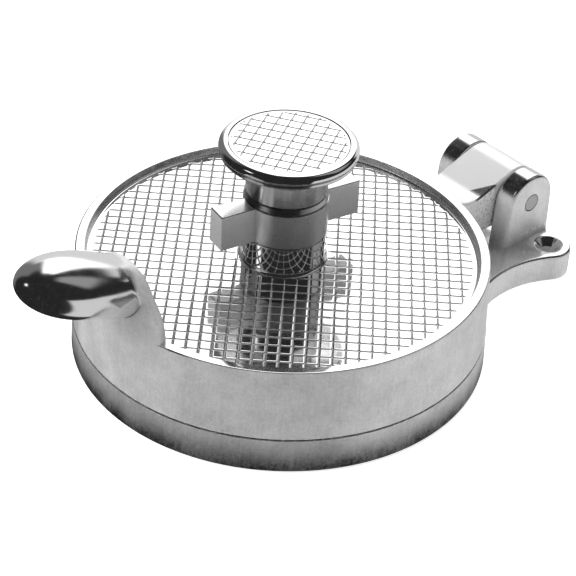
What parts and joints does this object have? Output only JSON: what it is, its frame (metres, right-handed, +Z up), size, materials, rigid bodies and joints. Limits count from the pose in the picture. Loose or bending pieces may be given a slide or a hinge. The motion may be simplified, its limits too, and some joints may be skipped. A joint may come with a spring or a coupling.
{
  "type": "adjustable patty press",
  "caption": "Round cast-aluminium patty press with a hinged waffle-topped lid, egg-shaped handle, ejector knob and winged thickness collar.",
  "frame": {"origin": "on the underside of the base, at the middle of the round mould", "axes": "+Z up, +Y from the mould towards the hinge, the handle points to -Y, +X to the right seen from the handle"},
  "size_m": [0.128, 0.1988, 0.0715],
  "materials": {
    "cast_aluminium": "satin with polished edges",
    "polished_aluminium": "polished",
    "steel": "turned",
    "rubber": "matt"
  },
  "bodies": {
    "base": {"base_casting": "cast_aluminium", "hinge_pin": "steel"},
    "lid": {"lid_casting": "cast_aluminium", "guide_tube": "steel", "collar_stop_ring": "steel"},
    "thickness_stop": {"stop_washer": "steel"},
    "adjusting_collar": {"wing_collar": "cast_aluminium"},
    "drag_ring": {"shaft_drag_ring": "rubber"},
    "plunger": {"plunger_shaft": "steel", "press_plate": "polished_aluminium", "plate_screw": "steel", "knob_neck": "polished_aluminium", "knob_rim": "polished_aluminium", "knob_insert": "polished_aluminium", "knob_lock_washer": "steel", "knob_screw": "steel"}
  },
  "joints": [
    {"name": "lid_hinge", "type": "hinge", "parent": "base", "child": "lid", "pos_m": [0, 0.0925, 0.0233], "axis": [-1, 0, 0], "range_deg": [0, 110]},
    {"name": "collar_lift", "type": "slide", "parent": "lid", "child": "thickness_stop", "axis": [0, 0, 1], "range_m": [0, 0.00601]},
    {"name": "collar_turn", "type": "hinge", "parent": "thickness_stop", "child": "adjusting_collar", "pos_m": [0, 0, 0.0477], "axis": [0, 0, 1], "range_deg": [0, 720]},
    {"name": "knob_lift", "type": "slide", "parent": "thickness_stop", "child": "drag_ring", "axis": [0, 0, 1], "range_m": [0, 0.0056]},
    {"name": "knob_spin", "type": "hinge", "parent": "drag_ring", "child": "plunger", "pos_m": [0, 0, 0.045], "axis": [0, 0, 1], "continuous": true}
  ],
  "couplings": [
    {"joint": "collar_lift", "follows": "collar_turn", "m_per_rad": 0.00047746}
  ]
}
